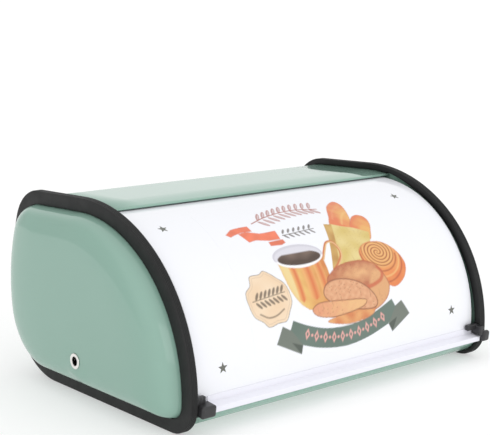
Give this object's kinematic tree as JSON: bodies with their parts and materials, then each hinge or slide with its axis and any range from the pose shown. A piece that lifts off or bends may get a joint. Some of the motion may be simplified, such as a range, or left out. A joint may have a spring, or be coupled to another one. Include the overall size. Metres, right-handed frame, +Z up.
{
  "type": "roll-top bread box",
  "caption": "Countertop bread box of bent painted sheet steel with domed ends, black edge trim and a curved lid that rolls back under the top.",
  "frame": {"origin": "on the table under the middle of the whole part's bounding box", "axes": "+X to the right along the width, -Y towards the user where the lid is, +Z up"},
  "size_m": [0.3516, 0.2439, 0.1528],
  "materials": {
    "shell_green": "gloss",
    "cap_green": "gloss",
    "frame_green": "gloss",
    "arm_green": "gloss",
    "lid_white": "gloss",
    "rail_white": "gloss",
    "bar_metal": "satin",
    "trim_black": "satin",
    "eyelet_chrome": "polished",
    "washer_plastic": "matte",
    "end_black": "satin"
  },
  "bodies": {
    "box": {"body_shell": "shell_green", "right_end_cap": "cap_green", "left_end_cap": "cap_green", "right_edge_trim": "trim_black", "left_edge_trim": "trim_black", "right_side_frame": "frame_green", "left_side_frame": "frame_green", "right_pivot_eyelet": "eyelet_chrome", "left_pivot_eyelet": "eyelet_chrome", "right_outer_washer": "washer_plastic", "left_outer_washer": "washer_plastic", "right_inner_washer": "washer_plastic", "left_inner_washer": "washer_plastic"},
    "lid": {"lid_sheet": "lid_white", "lid_rear_bar": "bar_metal", "lid_handle_rail": "rail_white", "right_lid_arm": "arm_green", "left_lid_arm": "arm_green", "right_handle_end": "end_black", "left_handle_end": "end_black"}
  },
  "joints": [
    {"name": "lid_hinge", "type": "hinge", "parent": "box", "child": "lid", "pos_m": [0, -0.0013, 0.0343], "axis": [-1, 0, 0], "range_deg": [0, 85]}
  ]
}
